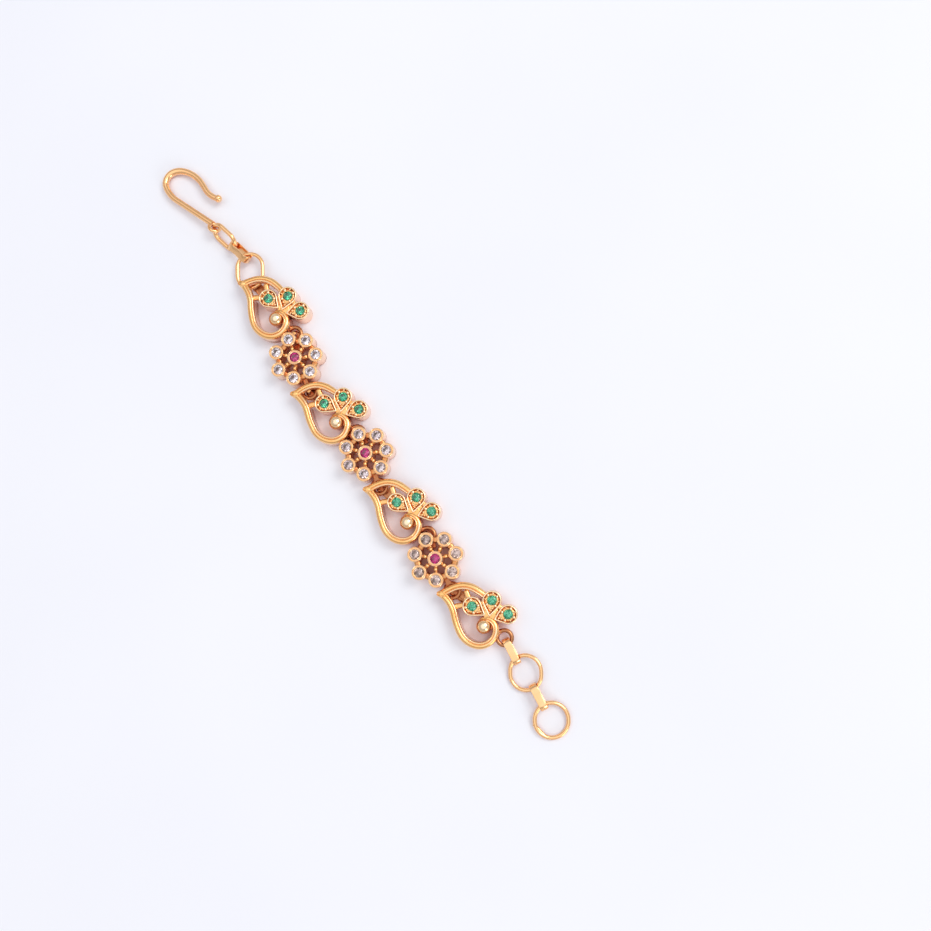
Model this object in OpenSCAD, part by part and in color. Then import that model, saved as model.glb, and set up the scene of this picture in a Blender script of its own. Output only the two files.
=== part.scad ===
// Ear chain: a hook, four paisley links and three flower links in gilt castings set with
// small round stones, then two rings to hang it by. It lies flat, with +X from the hook to
// the end ring, +Z up, and the origin under the middle flower.

/* [Castings] */
// Height of the collets and petals above their flat backs
cast_h = 3.5; // [3.3:0.05:3.8]
// Height of the paisley rail's crest
rail_top = 3.35; // [3.2:0.05:3.5]
// Underside of the rail where another link passes below it
rail_raised = 2.05; // [2:0.05:2.2]
// Width of the paisley rail along its main sweep
rail_w = 1.45; // [1.3:0.05:1.5]

/* [Flowers] */
// Outer diameter of a collet
collet_d = 2.9; // [2.8:0.05:3]
// Radius of the circle that the outer collets stand on
collet_circle = 3.93; // [3.85:0.01:4]
// Height of the middle collet above the others
centre_lift = 0.6; // [0.4:0.1:0.8]

/* [Stones] */
// Diameter of a flower's stones
flower_stone_d = 2; // [1.9:0.05:2.1]
// Diameter of a paisley's stones
petal_stone_d = 1.75; // [1.6:0.05:1.8]

/* [Joining loops] */
// Diameter of a casting's loop wire
loop_wire = 0.8; // [0.75:0.05:0.85]
// Radius of a casting's loop, to the middle of its wire
loop_r = 1.37; // [1.35:0.01:1.4]
// Height of the loops' wire above the backs
loop_z = 1.3; // [1.25:0.05:1.35]

/* [Rings and strips] */
// Diameter of the rings' wire
ring_wire = 0.7; // [0.65:0.05:0.75]
// Diameter of the wire of the ring at the hook
hook_ring_wire = 0.8; // [0.75:0.05:0.8]
// Length of a folded strip over its round ends
strip_l = 5.3; // [5.25:0.05:5.35]
// Width of the strip
strip_w = 1.4; // [1.2:0.05:1.45]
// Height of the folded strip
strip_h = 2.4; // [2.35:0.05:2.45]
// Thickness of the strip's sheet
strip_t = 0.25; // [0.2:0.05:0.25]

/* [Ear hook] */
// Diameter of the hook's wire
hook_wire = 1.2; // [1.1:0.05:1.25]
// Diameter where the hook is thickest, round its bend
hook_bend = 1.4; // [1.3:0.05:1.4]
// Diameter of the ball at the hook's tip
hook_ball = 1.5; // [1.3:0.05:1.6]
// Slope of the hook, whose bend lies lower than its eye
hook_pitch = 4.15; // [4:0.05:4.15]

/* [Hidden] */
$fn = 48;
little = 0.01;
// Length of the collar that closes a joint of the rail
collar_l = 0.06;
stone_gap = 0.03;

// Paisleys: x and y of the scroll's ball, then the heading of the row of petals
paisley_at = [[-31.92, 0.45, 33], [-8.35, -1.32, 45], [15.16, -1.02, 40], [39, -0.3, 42.5]];
// Flowers: x and y of the middle stone, then the heading of the tail loop
flower_at = [[-23.1, -0.7, -13.5], [0, 0, -14], [23.8, -0.5, -8]];
// Where each kind of link has its own loop, in its own frame
paisley_loop = [4.17, -1.3];
flower_loop = [6.65, 0];
// The first paisley is hung on a ring, whose post stands here
ring_post = [-8.05, 5.3];

// A link's loop lies over the next link's bar and round its post
post_d = 0.8;
bar_h = 0.6;
bar_z = 0.05;
plate_r = 0.95;
plate_h = 0.4;
loop_room = loop_r + loop_wire / 2 + 0.1;
room_h = 1.95;

// The rail: radius, turn to the left and width of each arc
tip = [-8.86, 4.04];
tip_point = 0.95;
side_start = [-8.6, 3.9, -28];
side_raised = [[6.4, -27, rail_w]];
side_low = [
    [6.4, -11, rail_w], [14, 14, rail_w], [4.2, 56, rail_w],
    [2.95, 92, 1.35], [2.1, 84, 1.25], [1.05, 80, 1.1]];
low_start = run_end(side_start, side_raised);
top_start = [-8.7, 4.2, 45];
top_arcs = [[12.5, -10, rail_w], [4.6, -52, rail_w], [14, -8, rail_w]];
ball_at = [-0.3, -0.05];
ball_d = 2.3;

// Petals: x, y, direction of the point, and its distance from the stone
petals = [[-2.85, 3.1, -21.6, 3.12], [0.5, 4.95, -86.8, 3.15], [3.93, 3.1, -148, 2.9]];
petal_r = 1.8;
petal_rim = 0.45;
petal_floor = 0.55;
bead_d = 0.62;
bead_r = 1.21;
// Low bars that join the petals to the rail and to each other: x, y, direction and length
bridges = [
    [-3.6, 4.2, 125, 1.9], [-4.3, 3, 202, 1.9], [-2, 3.57, 29, 1.7],
    [1.35, 4.5, -28, 1.8], [0.35, 1.4, 83, 2.2]];
bridge_w = 1;
bridge_low = 1.95;
bridge_h = 1.15;
// Plate behind the petals' points: x, y and radius
points_plate = [0.65, 2.35, 1.15];
petal_anchor = [-4.3, 4];

// Flower: seven collets at one step of turn, the first pair on both sides of the tail loop
petal_count = 7;
step = 360 / petal_count;
spoke_w = 0.6;
spoke_low = 1.2;
spoke_top = 2.6;
web_in = 2.95;
web_out = 4.2;
web_low = 0.4;
web_top = 2.2;
flower_anchor = [-2.15, 0];
neck_w = 1;

// A stone's heights as shares of its diameter; its table stands a little under its rim
crown = 0.16;
pavilion = 0.43;
girdle = 0.04;
table = 0.58;
table_drop = 0.12;
ledge_depth = 0.2;
back_d = 1.3;
centre_back = 1.6;

// Rings: middle, heading, tilt about X, straight length, radius of the ends, wire
ring_a = [[-52.05, 1.25, 1.84], 12, 54, 2.2, 1.75, hook_ring_wire];
ring_c = [[-43.45, 1.55, 1.42], 146.5, 5, 1.6, 2.56, ring_wire];
ring_d = [[50.35, 1.07, 1.02], 146.5, 9, 0.65, 2.87, ring_wire];
ring_e = [[60, 0, 0.7], 146.5, 0, 0.2, 3.08, ring_wire + 0.05];
end_pitch = 5.4;
// One end of the end ring's wire is lapped straight along the inside of the other
lap_turn = -82;
lap_r = 2.87;
lap_l = 3;

// Folded strips: middle, heading and roll
second_loop = at(paisley_at[3], paisley_loop);
second_heading = -7.5;
second_reach = strip_l / 2 + 0.1;
strip_1 = [[-47.88, 2.05, 1.46], 10.6, 33];
strip_2 = [
    [second_loop.x + second_reach * cos(second_heading),
     second_loop.y + second_reach * sin(second_heading), strip_h / 2 + 0.02],
    second_heading, 0];
strip_3 = [[55.17, 0.5, strip_h / 2 + 0.02], -7, 0];

// Hook: it starts at its eye, and each row is radius, turn and width, or 0, length, width
eye_at = ring_a[0] - (ring_a[3] / 2 + ring_a[4]) * [cos(ring_a[1]), sin(ring_a[1]), 0];
eye_r = 0.975;
eye_wire = 0.75;
hook_start = [-0.85, 0.13, 200.2];
hook_arcs = [
    [0, 9.45, hook_wire], [6.5, -33, hook_wire], [2.35, -92, hook_bend], [3.4, -32, hook_bend],
    [6.5, -43, hook_wire], [20, -5, hook_wire], [4.5, 45, hook_wire]];

stone_names = [for (k = [1:3], i = [1:petal_count]) str("flower_", k, "_stone_", i)];
centre_names = [for (k = [1:3]) str("flower_", k, "_centre_stone")];
green_names = [for (k = [1:4], i = [1:3]) str("paisley_", k, "_stone_", i)];

// A point of a link's own frame in the chain's frame, and the other way round
function at(p, q) = [p.x + q.x * cos(p.z) - q.y * sin(p.z), p.y + q.x * sin(p.z) + q.y * cos(p.z)];
function within(p, w) = let (d = [w.x - p.x, w.y - p.y])
    [d.x * cos(p.z) + d.y * sin(p.z), -d.x * sin(p.z) + d.y * cos(p.z)];

// Where the post of link k stands, in that link's frame: in the loop of the link before it
function paisley_post(k) = k == 0 ? ring_post : within(paisley_at[k], at(flower_at[k - 1], flower_loop));
function flower_post(k) = within(flower_at[k], at(paisley_at[k], paisley_loop));

// Place and heading at the end of one arc or straight
function after(s, seg) = seg[0] == 0
    ? [s.x + seg[1] * cos(s.z), s.y + seg[1] * sin(s.z), s.z]
    : let (side = sign(seg[1]), r = side * seg[0], h = s.z + seg[1])
        [s.x - r * sin(s.z) + r * sin(h), s.y + r * cos(s.z) - r * cos(h), h];
function run_end(s, segs, i = 0) = i == len(segs) ? s : run_end(after(s, segs[i]), segs, i + 1);

function stone_z(d, rim) = rim - table_drop - d * (crown + girdle / 2);

module place(p) {
    translate([p.x, p.y, 0]) rotate([0, 0, p.z]) children();
}

// One stretch of a run, with the section that is its child; $w is the stretch's width.
// It stops a hair short of both ends, where a joint fills in.
module stretch(s, seg) {
    $w = seg[2];
    short = seg[0] == 0 ? little : little * 180 / PI / seg[0];
    place(s)
        if (seg[0] == 0)
            translate([short, 0, 0]) rotate([90, 0, 90]) linear_extrude(seg[1] - 2 * short) children();
        else
            translate([0, sign(seg[1]) * seg[0], 0])
                rotate([0, 0, (seg[1] > 0 ? -90 : 90 + seg[1]) + short])
                    rotate_extrude(angle = abs(seg[1]) - 2 * short) translate([seg[0], 0]) children();
}

// A short stretch of its child, which is a section
module collar() {
    rotate([90, 0, 90]) translate([0, 0, -collar_l / 2]) linear_extrude(collar_l) children();
}

// The first child is the section of the stretches, the second the joint between two of them
module run(s, segs, i = 0) {
    if (i < len(segs)) {
        next = after(s, segs[i]);
        stretch(s, segs[i]) children(0);
        if (i < len(segs) - 1)
            let ($w = max(segs[i][2], segs[i + 1][2]) + 2 * little) place(next) children(1);
        run(next, segs, i + 1) { children(0); children(1); }
    }
}

// Rail with a flat underside, upright sides and a round crest
module rail(s, segs, low) {
    run(s, segs) {
        rail_section(low, $w, rail_top);
        collar() proud_section(low);
    }
}

module rail_section(low, w, top) {
    crest_z = top - w / 2;
    translate([-w / 2, low]) square([w, crest_z - low]);
    intersection() {
        translate([0, crest_z]) circle(d = w);
        translate([-w, crest_z]) square(2 * w);
    }
}

module proud_section(low) {
    rail_section(max(low - little, 0), $w, rail_top + little);
}

// Where the two sides of the rail meet
module rail_post(low, w) {
    rotate_extrude() intersection() {
        rail_section(max(low - little, 0), w, rail_top + little);
        square(2 * rail_top);
    }
}

// A round end with a straight-sided point on +X, whose sides leave the round at a slight angle
module drop(r, reach, h) {
    foot = 0.985 * r;
    a = acos(foot / reach);
    cylinder(r = r, h = h);
    linear_extrude(h)
        polygon([[0, 0], foot * [cos(a), -sin(a)], [reach, 0], foot * [cos(a), sin(a)]]);
}

module loop() {
    translate([0, 0, loop_z]) rotate_extrude() translate([loop_r, 0]) circle(d = loop_wire);
}

// Post through the loop of the link before, and the bar and plate under that loop
module catch(post, anchor, post_top) {
    way = anchor - post;
    for (p = [post, anchor]) translate([p.x, p.y, bar_z]) cylinder(d = post_d, h = post_top - bar_z);
    translate([post.x, post.y, bar_z]) {
        cylinder(r = plate_r, h = plate_h);
        rotate([0, 0, atan2(way.y, way.x)]) {
            translate([0, -post_d / 2, 0]) cube([norm(way), post_d, bar_h]);
            translate([0, -plate_r, 0]) cube([norm(way), 2 * plate_r, plate_h]);
        }
    }
}

// Bored seat: the stone's own hole, a ledge under its girdle, and an open back
module seat(d, rim, back_low) {
    ledge = stone_z(d, rim) - ledge_depth * d;
    translate([0, 0, ledge]) cylinder(d = d + 2 * stone_gap, h = 3);
    translate([0, 0, back_low]) cylinder(d = back_d, h = ledge - back_low + little);
}

module cut_stone(d) {
    hull() {
        translate([0, 0, d * (crown + girdle / 2) - little]) rotate([0, 0, 22.5])
            linear_extrude(little) circle(d = d * table, $fn = 8);
        translate([0, 0, -d * girdle / 2]) linear_extrude(d * girdle) circle(d = d, $fn = 16);
        translate([0, 0, -d * pavilion]) cylinder(d1 = d / 20, d2 = d, h = d * (pavilion - girdle / 2), $fn = 16);
    }
}

module collet(h) {
    edge = 0.2;
    cylinder(d = collet_d, h = h - edge);
    translate([0, 0, h - edge]) cylinder(d1 = collet_d, d2 = collet_d - 2 * edge, h = edge);
}

module around(i) {
    rotate([0, 0, (i - 0.5) * step]) translate([collet_circle, 0, 0]) children();
}

module flower(k) {
    post = flower_post(k);
    centre_h = cast_h + centre_lift;
    color("goldenrod") place(flower_at[k]) {
        difference() {
            union() {
                for (i = [0:petal_count - 1]) around(i) collet(cast_h);
                collet(centre_h);
                difference() {
                    translate([0, 0, web_low]) cylinder(r = web_out, h = web_top - web_low);
                    cylinder(r = web_in, h = cast_h);
                }
                for (i = [0:petal_count - 1]) rotate([0, 0, (i - 0.5) * step]) {
                    translate([1.2, -spoke_w / 2, spoke_low])
                        cube([collet_circle - 2.4, spoke_w, spoke_top - spoke_low]);
                    translate([2.02, 0, spoke_top]) sphere(d = 0.7);
                }
                translate([web_out - 0.6, -neck_w / 2, loop_z - 0.4])
                    cube([flower_loop.x - loop_r - web_out + 0.7, neck_w, 0.8]);
            }
            for (i = [0:petal_count - 1]) around(i) seat(flower_stone_d, cast_h, -1);
            seat(flower_stone_d, centre_h, centre_back);
            translate([post.x, post.y, -1]) cylinder(r = loop_room, h = 1 + room_h);
        }
        translate([flower_loop.x, flower_loop.y, 0]) loop();
        catch(post, flower_anchor, room_h + 0.2);
    }
}

module petal(p) {
    translate([p[0], p[1], 0]) rotate([0, 0, p[2]]) children();
}

module paisley(k) {
    post = paisley_post(k);
    color("goldenrod") place(paisley_at[k]) {
        difference() {
            union() {
                rail(top_start, top_arcs, rail_raised);
                rail(side_start, side_raised, rail_raised);
                rail(low_start, side_low, 0);
                place(low_start) collar() let ($w = rail_w + 2 * little) proud_section(0.02);
                translate([tip.x, tip.y, 0]) rail_post(rail_raised, rail_w + 4 * little);
                translate([tip.x, tip.y, rail_raised]) rotate([0, 0, 186])
                    drop(rail_w / 2, tip_point, rail_top - rail_w / 2 - rail_raised);
                for (p = petals) petal(p) drop(petal_r, p[3], cast_h);
                for (b = bridges) translate([b[0], b[1], bridge_low]) rotate([0, 0, b[2]])
                    translate([0, -bridge_w / 2, 0]) cube([b[3], bridge_w, bridge_h]);
                translate([points_plate.x, points_plate.y, bridge_low])
                    cylinder(r = points_plate.z, h = bridge_h);
            }
            for (p = petals) petal(p) {
                translate([0, 0, cast_h - petal_floor])
                    drop(petal_r - petal_rim, p[3] - petal_rim * p[3] / petal_r, 1);
                seat(petal_stone_d, cast_h, -1);
            }
        }
        translate([ball_at.x, ball_at.y, 0]) {
            cylinder(d = ball_d - 0.4, h = cast_h - ball_d / 2);
            translate([0, 0, cast_h - ball_d / 2]) sphere(d = ball_d);
        }
        for (p = petals) petal(p) for (a = [45:90:315])
            rotate([0, 0, a]) translate([bead_r, 0, cast_h - petal_floor]) sphere(d = bead_d);
        translate([paisley_loop.x, paisley_loop.y, 0]) loop();
        catch(post, petal_anchor, rail_raised + 0.3);
    }
}

// Ring bent as two half rounds and two straights
module ring(r) {
    straight = r[3];
    translate(r[0]) rotate([r[2], 0, 0]) rotate([0, 0, r[1]]) {
        for (s = [-1, 1]) {
            translate([s * straight / 2, 0, 0]) rotate([0, 0, -s * 90])
                rotate_extrude(angle = 180) translate([r[4], 0]) circle(d = r[5]);
            translate([-straight / 2, s * r[4], 0]) rotate([0, 90, 0]) cylinder(d = r[5], h = straight);
        }
    }
}

// The hook's ring leans about its own length
module leaning_ring(r) {
    translate(r[0]) rotate([0, 0, r[1]]) rotate([r[2], 0, 0]) translate(-r[0])
        ring([r[0], 0, 0, r[3], r[4], r[5]]);
}

module end_ring() {
    color("gold") translate(ring_e[0]) rotate([0, end_pitch, 0]) {
        ring([[0, 0, 0], ring_e[1], 0, ring_e[3], ring_e[4], ring_e[5]]);
        rotate([0, 0, lap_turn]) translate([lap_r, 0, 0]) {
            rotate([90, 0, 0]) cylinder(d = ring_wire, h = lap_l, center = true);
            for (s = [-1, 1]) translate([0, s * lap_l / 2, 0]) sphere(d = ring_wire + 2 * little);
        }
    }
}

module flat_tube(l, h) {
    for (s = [-1, 1]) translate([s * (l - h) / 2, 0, 0]) rotate([90, 0, 0])
        cylinder(d = h, h = strip_w, center = true);
    cube([l - h, strip_w, h], center = true);
}

module strip(s) {
    color("gold") translate(s[0]) rotate([0, 0, s[1]]) rotate([s[2], 0, 0]) difference() {
        flat_tube(strip_l, strip_h);
        scale([1, 1.2, 1]) flat_tube(strip_l - 2 * strip_t, strip_h - 2 * strip_t);
    }
}

module ear_hook() {
    end = run_end(hook_start, hook_arcs);
    color("gold") translate(eye_at) rotate([0, -hook_pitch, 0]) {
        run(hook_start, hook_arcs) {
            circle(d = $w);
            rotate([0, 90, 0]) sphere(d = $w);
        }
        place(end) rotate([0, 90, 0]) sphere(d = hook_ball);
        rotate([0, 0, ring_a[1]]) rotate([ring_a[2] - 90, 0, 0])
            rotate_extrude() translate([eye_r, 0]) circle(d = eye_wire);
    }
}

module clear_stone(k, i) {
    color("white") place(flower_at[k]) around(i)
        translate([0, 0, stone_z(flower_stone_d, cast_h)]) cut_stone(flower_stone_d);
}

module centre_stone(k) {
    color("crimson") place(flower_at[k])
        translate([0, 0, stone_z(flower_stone_d, cast_h + centre_lift)]) cut_stone(flower_stone_d);
}

module green_stone(k, i) {
    color("seagreen") place(paisley_at[k]) petal(petals[i])
        translate([0, 0, stone_z(petal_stone_d, cast_h)]) cut_stone(petal_stone_d);
}

ear_hook();
color("gold") leaning_ring(ring_a);  // hook_ring
strip(strip_1);
color("gold") ring(ring_c);  // neck_ring
for (k = [0:3]) paisley(k);
for (k = [0:2]) flower(k);
strip(strip_2);
color("gold") ring(ring_d);  // middle_ring
strip(strip_3);
end_ring();
for (k = [0:2], i = [0:petal_count - 1])
    clear_stone(k, i);
for (k = [0:2]) centre_stone(k);
for (k = [0:3], i = [0:2]) green_stone(k, i);
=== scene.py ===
# Ear chain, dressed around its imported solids: gilt castings, wire and cut stones on a pale floor.
# Lengths are millimetres until a mesh is made, and angles are degrees.
import math
import random

import bmesh
import bpy
from mathutils import Matrix, Vector


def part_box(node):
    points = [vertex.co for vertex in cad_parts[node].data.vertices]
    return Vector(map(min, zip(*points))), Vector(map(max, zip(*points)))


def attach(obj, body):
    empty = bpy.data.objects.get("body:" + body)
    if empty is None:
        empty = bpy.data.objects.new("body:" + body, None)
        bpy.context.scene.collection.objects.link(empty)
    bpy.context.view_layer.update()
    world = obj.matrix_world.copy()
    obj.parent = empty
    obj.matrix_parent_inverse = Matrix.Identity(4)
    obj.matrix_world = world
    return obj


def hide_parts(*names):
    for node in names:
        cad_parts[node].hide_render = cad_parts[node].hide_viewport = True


MM = 0.001

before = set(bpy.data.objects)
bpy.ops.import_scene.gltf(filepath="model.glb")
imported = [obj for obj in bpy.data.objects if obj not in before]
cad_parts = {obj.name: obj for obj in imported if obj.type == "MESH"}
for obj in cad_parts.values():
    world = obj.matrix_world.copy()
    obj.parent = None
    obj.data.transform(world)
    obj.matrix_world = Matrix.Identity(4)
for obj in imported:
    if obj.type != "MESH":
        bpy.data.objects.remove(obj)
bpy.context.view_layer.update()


# Sizes of the castings, as in the solids
CAST_TOP = 3.5
CENTRE_LIFT = 0.6
COLLET_R = 1.45
COLLET_CIRCLE = 3.93
CENTRE_BACK = 1.6
SPOKE_W, SPOKE_LOW, SPOKE_TOP = 0.72, 1.2, 2.6
SPOKE_BEAD = (1.98, 0.42, 2.86)
WEB_IN, WEB_OUT, WEB_LOW, WEB_TOP = 2.95, 4.2, 0.4, 2.2
SPOKE_START, SPOKE_SHORT = 1.2, 2.4
NECK_W, NECK_START, NECK_SHORT = 1, 3.6, 3.5
PETALS = 7
CLEAR_D = 2.0
GREEN_D = 1.75
TABLE_DROP = 0.12
CROWN, PAVILION, GIRDLE, TABLE = 0.16, 0.43, 0.04, 0.58
RAIL_RAISED = 2.05
LOOP_R, LOOP_WIRE, LOOP_Z = 1.37, 0.8, 1.3
LOOP_ROOM = LOOP_R + LOOP_WIRE / 2 + 0.1
PLATE_R, PLATE_H = 0.95, 0.4
ROOM_TOP = 1.95
POST_D = 0.8
BAR_LOW, BAR_H = 0.05, 0.6
PAISLEY_LOOP = (4.17, -1.3)
FLOWER_LOOP = (6.65, 0)
RING_POST = (-8.05, 5.3)
PETAL_ANCHOR = (-4.3, 4.0)
FLOWER_ANCHOR = (-2.15, 0)

# Petals of a paisley: x, y, direction of the point, distance of the point from the stone
DROPS = [(-2.85, 3.1, -21.6, 3.12), (0.5, 4.95, -86.8, 3.15), (3.93, 3.1, -148, 2.9)]
DROP_R = 1.8
FLOOR_Z = 3.05
CREVICE_Z = 2.78
# Beads and seeds on a petal's floor: distance and direction from the stone, radius, height
BEADS = [(1.17, 42, 0.34, 3.17), (1.17, 135, 0.35, 3.17), (1.17, 225, 0.35, 3.17), (1.17, 318, 0.34, 3.17)]
SEEDS = [(1.46, 12, 0.24, 3.18), (1.48, -12, 0.24, 3.2), (1.88, 3, 0.22, 3.16), (2.24, -2, 0.16, 3.12),
         (1.3, 180, 0.22, 3.14), (1.24, 92, 0.2, 3.12), (1.24, -92, 0.2, 3.12)]
BALL = (0, 0)
BALL_D = 2.84
BALL_TOP = 3.84
# Floor between the ball and the scroll: x, y, radius, underside and top
CUP = (0.72, 0.32, 1.0, 1.6, 2.25)
# Rails: x, y, heading, then rows of radius, turn to the left, and width, underside and crest at the end
TOP_START = (-9.73, 3.87, -5)
TOP_ARCS = [(1.4, 50, 1.45, 2.05, 3.24), (12.5, -10, 1.45, 2.05, 3.35), (4.6, -52, 1.45, 2.05, 3.35),
            (14, -8, 1.3, 2.05, 3.3)]
SIDE_START = (-9.72, 3.98, 20)
SIDE_ARCS = [(1.4, -48, 1.45, 2.05, 3.2), (6.4, -27, 1.45, 2.05, 3.35), (6.4, -11, 1.45, 0, 3.35),
             (14, 14, 1.45, 0, 3.35),
             (4.2, 56, 1.42, 0, 3.35), (3.02, 92, 1.22, 0, 3.4), (2.1, 84, 0.94, 0, 3.3),
             (1.3, 78, 0.46, 0, 2.7), (1.15, 70, 0.24, 0, 2.1)]
# Bars between the petals: x, y, direction, length, top; and the plate behind their points: x, y, radius
BRIDGES = [(-3.6, 4.2, 125, 1.9, 3.0), (-4.3, 3, 202, 1.9, 2.65), (-2, 3.57, 29, 1.7, 2.9),
           (1.35, 4.5, -28, 1.8, 3.1), (0.35, 1.4, 83, 2.2, 3.1)]
BRIDGE_LOW, BRIDGE_TOP = 1.95, 3.1
# Solder that fills the gaps beside the petals' points: x, y, direction, length, width, top
SOLDER = [(-0.95, 3.85, -60, 2.2, 0.9, 2.75), (1.75, 3.7, -112, 2.2, 1.0, 3.0)]
POINTS_PLATE = (0.65, 2.35, 1.15)

# Rings: middle, heading, lean, straight length, radius of the ends, wire
HOOK_RING = ((-52.05, 1.25, 1.84), 12, 54, 2.2, 1.75, 0.8)
NECK_RING = ((-43.45, 1.55, 1.42), 146.5, 5, 1.6, 2.56, 0.7)
MIDDLE_RING = ((50.35, 1.07, 1.02), 146.5, 9, 0.65, 2.87, 0.7)
END_RING = ((60, 0, 0.7), 146.5, 5.4, 0.2, 3.08, 0.75)
RING_PLUMP, END_PLUMP = 1.1, 1.06
# Lapped end of the end ring's wire: length, distance from the middle, direction, wire
LAP_L, LAP_R, LAP_TURN, LAP_WIRE = 3.0, 2.87, -82, 0.7
# Strips: middle, heading, roll
STRIP_L, STRIP_W, STRIP_H, STRIP_T = 5.3, 1.4, 2.4, 0.25
STRIP_SAG = 0.14
STRIP_1 = ((-47.88, 2.05, 1.46), 10.6, 33)
STRIP_2_HEADING, STRIP_2_REACH = -7.5, STRIP_L / 2 + 0.1
STRIP_3 = ((55.17, 0.5, 1.22), -7, 0)
# Hook: radius, turn and width at the row's end, or 0, length, width
EYE_R, EYE_WIRE = 0.975, 0.75
HOOK_START = (-0.85, 0.13, 200.2)
HOOK_ARCS = [(0, 9.45, 1.2), (6.5, -33, 1.25), (2.35, -92, 1.4), (3.4, -32, 1.35),
             (6.5, -43, 1.2), (20, -5, 1.2), (4.5, 45, 1.15)]
HOOK_BALL = 1.5
HOOK_PITCH = 4.15


# Shells: each is a list of points and a list of faces

def turn(p, degrees):
    a = math.radians(degrees)
    return (p[0] * math.cos(a) - p[1] * math.sin(a), p[0] * math.sin(a) + p[1] * math.cos(a))


def band(low, high):
    """Faces between two loops of point numbers, either of which may be a single point."""
    if len(low) == 1:
        return [(low[0], high[(i + 1) % len(high)], high[i])[::-1] for i in range(len(high))]
    if len(high) == 1:
        return [(low[i], low[(i + 1) % len(low)], high[0]) for i in range(len(low))]
    n = len(low)
    return [(low[i], low[(i + 1) % n], high[(i + 1) % n], high[i]) for i in range(n)]


def skin(loops, ring=False):
    """Joins loops of points in order; a ring's last loop joins its first, and other ends are capped."""
    points, rows, faces = [], [], []
    for loop in loops:
        rows.append(list(range(len(points), len(points) + len(loop))))
        points += [tuple(p) for p in loop]
    for low, high in zip(rows, rows[1:] + rows[:1] if ring else rows[1:]):
        faces += band(low, high)
    if not ring:
        if len(rows[0]) > 1:
            faces.append(tuple(reversed(rows[0])))
        if len(rows[-1]) > 1:
            faces.append(tuple(rows[-1]))
    return points, faces


def circle(r, z, sides):
    if r == 0:
        return [(0, 0, z)]
    steps = [2 * math.pi * i / sides for i in range(sides)]
    return [(r * math.cos(a), r * math.sin(a), z) for a in steps]


def lathe(profile, sides=56, ring=False):
    """A profile of radius and height, turned about Z."""
    return skin([circle(r, z, sides) for r, z in profile], ring)


def ball(r, at, sides=24):
    rows = sides // 2
    steps = [math.pi * i / rows for i in range(rows + 1)]
    profile = [(r * math.sin(a), -r * math.cos(a)) for a in steps]
    profile[0], profile[-1] = (0, -r), (0, r)
    return moved(lathe(profile, sides), at)


def torus(r, wire, at, sides=56, round_sides=20):
    steps = [2 * math.pi * i / round_sides for i in range(round_sides)]
    profile = [(r + wire / 2 * math.cos(a), wire / 2 * math.sin(a)) for a in steps]
    return moved(lathe(profile, sides, ring=True), at)


def moved(shell, at=(0, 0, 0), heading=0):
    points, faces = shell
    at = tuple(at) + (0,) * (3 - len(at))
    out = []
    for p in points:
        x, y = turn(p, heading)
        out.append((x + at[0], y + at[1], p[2] + at[2]))
    return out, faces


def pillar(r, low, high, edge=0.12, sides=32):
    """A round post with softened edges."""
    corner = [(edge, 0), (edge * 0.3, edge * 0.3), (0, edge)]
    foot = [(r - x, low + z) for x, z in corner]
    head = [(r - x, high - z) for x, z in corner[::-1]]
    return lathe([(0, low)] + foot + head + [(0, high)], sides)


def bar(length, width, low, high, edge=0.12):
    """A straight bar from the origin along X with softened upright and top edges."""
    def outline(inset, z):
        r = max(edge - inset, 0.02)
        near, side, loop = inset + r, width / 2 - inset - r, []
        far = length - near
        for cx, cy, start in ((far, side, 0), (near, side, 90), (near, -side, 180), (far, -side, 270)):
            for i in range(4):
                a = math.radians(start + 30 * i)
                loop.append((cx + r * math.cos(a), cy + r * math.sin(a), z))
        return loop
    foot = min(edge, 0.12)
    loops = [outline(foot * 0.8, low), outline(0, low + foot)]
    for step in range(5):
        a = math.radians(step * 20)
        loops.append(outline(edge * (1 - math.cos(a)), high - edge * (1 - math.sin(a))))
    return skin(loops)


def arc_run(start, arcs, pitch=0.12):
    """Stations along tangent arcs: x, y, heading, share of the row, row number."""
    x, y, h = start
    out = [(x, y, h, 0.0, 0)]
    for row, (r, t) in enumerate(arcs):
        length = t if r == 0 else r * math.radians(abs(t))
        n = max(3, math.ceil(length / pitch))
        for i in range(1, n + 1):
            a0 = math.radians(h)
            if r == 0:
                px, py = x + t * i / n * math.cos(a0), y + t * i / n * math.sin(a0)
                out.append((px, py, h, i / n, row))
            else:
                s, a1 = math.copysign(r, t), math.radians(h + t * i / n)
                px = x - s * math.sin(a0) + s * math.sin(a1)
                py = y + s * math.cos(a0) - s * math.cos(a1)
                out.append((px, py, h + t * i / n, i / n, row))
        x, y, h = out[-1][:3]
    return out


# Rail section from its outer foot over the crest to its inner foot: share of half width, height
# below the crest. A broad outer band climbs to a groove, and a ridge runs along the inner edge.
RAIL_SECTION = [(-1.0, 1.1), (-0.99, 0.88), (-0.95, 0.68), (-0.88, 0.51), (-0.77, 0.36), (-0.62, 0.245),
                (-0.44, 0.165), (-0.24, 0.12), (-0.04, 0.105), (0.12, 0.12), (0.22, 0.18), (0.29, 0.3),
                (0.36, 0.31), (0.42, 0.15), (0.49, 0.04), (0.58, 0.0), (0.7, 0.0), (0.79, 0.04),
                (0.87, 0.12), (0.94, 0.24), (0.985, 0.4), (1.0, 0.62)]
RAIL_FULL = 1.45
TIP_WIDTH, TIP_CREST = 0.3, 3.05
# Point where the rail's two sides meet: place, direction, radius and reach
TIP_AT, TIP_TURN, TIP_R, TIP_REACH = (-8.86, 4.04), 186, 0.745, 0.95


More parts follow.
